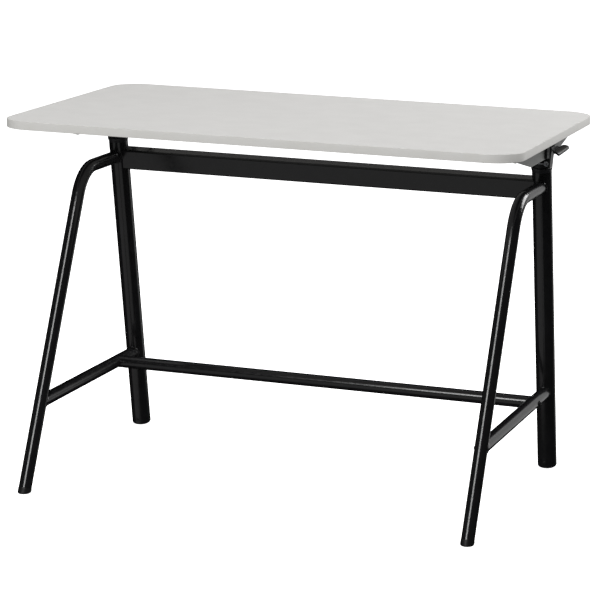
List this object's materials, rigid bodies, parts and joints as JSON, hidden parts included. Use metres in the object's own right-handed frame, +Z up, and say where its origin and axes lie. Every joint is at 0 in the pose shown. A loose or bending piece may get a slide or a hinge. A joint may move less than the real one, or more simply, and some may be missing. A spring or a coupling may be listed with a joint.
{
  "type": "drafting table",
  "caption": "Height-adjustable drafting and work table: flat rounded top on leaning gas-lift columns with bent front legs, stretchers, a beam and a hand release lever.",
  "frame": {"origin": "on the floor, at the middle of the table's overall footprint", "axes": "+X to the right as the user sits, +Y to the rear, +Z up"},
  "size_m": [1, 0.631, 0.708],
  "materials": {
    "board": "pale grey satin laminate on chipboard",
    "edge_band": "satin plastic edge band, colour of the board",
    "grey_paint": "satin grey powder coat",
    "black_powder_coat": "satin black powder coat, fine orange peel",
    "black_lever_paint": "satin black paint",
    "black_cast": "matt black paint on cast aluminium",
    "guide_plastic": "matt black moulded plastic",
    "foot_plastic": "matt black moulded plastic",
    "grip_plastic": "satin black moulded plastic",
    "cover_plastic": "matt black moulded plastic",
    "inner_tube_steel": "chromed steel tube",
    "cylinder_black": "gloss black paint",
    "ground_steel": "ground and polished steel",
    "zinc_steel": "bright zinc plate",
    "black_screw_steel": "black oxide",
    "spring_steel": "bright drawn wire"
  },
  "bodies": {
    "base_frame": {"column_left": "black_powder_coat", "column_right": "black_powder_coat", "collar_left": "guide_plastic", "collar_right": "guide_plastic", "column_glide_left": "foot_plastic", "column_glide_right": "foot_plastic", "foot_screws": "black_screw_steel", "gas_cylinder_left": "cylinder_black", "gas_cylinder_right": "cylinder_black", "front_leg_left": "black_powder_coat", "front_leg_right": "black_powder_coat", "leg_cap_left": "foot_plastic", "leg_cap_right": "foot_plastic", "crossbeam": "black_powder_coat", "beam_stub_left": "zinc_steel", "beam_stub_right": "zinc_steel", "beam_screws": "black_screw_steel", "side_stretcher_left": "black_powder_coat", "side_stretcher_right": "black_powder_coat", "long_stretcher": "black_powder_coat", "stretcher_insert_left": "guide_plastic", "stretcher_insert_right": "guide_plastic", "stretcher_bolts": "black_screw_steel"},
    "desk_top": {"tabletop": "board", "edge_band": "edge_band", "bracket_left": "grey_paint", "bracket_right": "grey_paint", "bracket_screws": "zinc_steel", "head_block_left": "black_cast", "head_block_right": "black_cast", "head_bolts": "black_screw_steel", "inner_tube_left": "inner_tube_steel", "inner_tube_right": "inner_tube_steel", "slide_ring_left": "guide_plastic", "slide_ring_right": "guide_plastic", "piston_rod_left": "ground_steel", "piston_rod_right": "ground_steel", "rod_nuts": "zinc_steel", "pivot_pin_left": "ground_steel", "pivot_pin_right": "ground_steel", "return_spring": "spring_steel", "lever_cover": "cover_plastic", "cover_screws": "black_screw_steel"},
    "lever": {"release_lever": "black_lever_paint", "lever_paddle": "grip_plastic", "lever_link_pin": "ground_steel"},
    "rocker": {"release_rocker": "black_lever_paint", "rocker_link_pin": "ground_steel"},
    "link": {"link_rod": "zinc_steel"},
    "pin_left": {"release_pin_left": "ground_steel"},
    "pin_right": {"release_pin_right": "ground_steel"}
  },
  "joints": [
    {"name": "desk_lift", "type": "slide", "parent": "base_frame", "child": "desk_top", "axis": [0, -0.2079, 0.9781], "range_m": [0, 0.4]},
    {"name": "lever_squeeze", "type": "hinge", "parent": "desk_top", "child": "lever", "pos_m": [0.449, 0.1372, 0.66391], "axis": [0, -1, 0], "range_deg": [0, 12], "stiffness_Nm_per_rad": 3, "springref_deg": -5.73},
    {"name": "rocker_turn", "type": "hinge", "parent": "desk_top", "child": "rocker", "pos_m": [-0.425, 0.1372, 0.66391], "axis": [0, -1, 0], "range_deg": [0, 12]},
    {"name": "link_pull", "type": "slide", "parent": "desk_top", "child": "link", "axis": [0.9637, 0, 0.2671], "range_m": [0, 0.00634]},
    {"name": "pin_press_left", "type": "slide", "parent": "desk_top", "child": "pin_left", "axis": [0, 0.2079, -0.9781], "range_m": [0, 0.0026]},
    {"name": "pin_press_right", "type": "slide", "parent": "desk_top", "child": "pin_right", "axis": [0, 0.2079, -0.9781], "range_m": [0, 0.0026]}
  ],
  "couplings": [
    {"joint": "rocker_turn", "follows": "lever_squeeze", "ratio": 1},
    {"joint": "link_pull", "follows": "lever_squeeze", "m_per_rad": 0.03027},
    {"joint": "pin_press_left", "follows": "lever_squeeze", "m_per_rad": 0.012414},
    {"joint": "pin_press_right", "follows": "lever_squeeze", "m_per_rad": 0.012414}
  ]
}
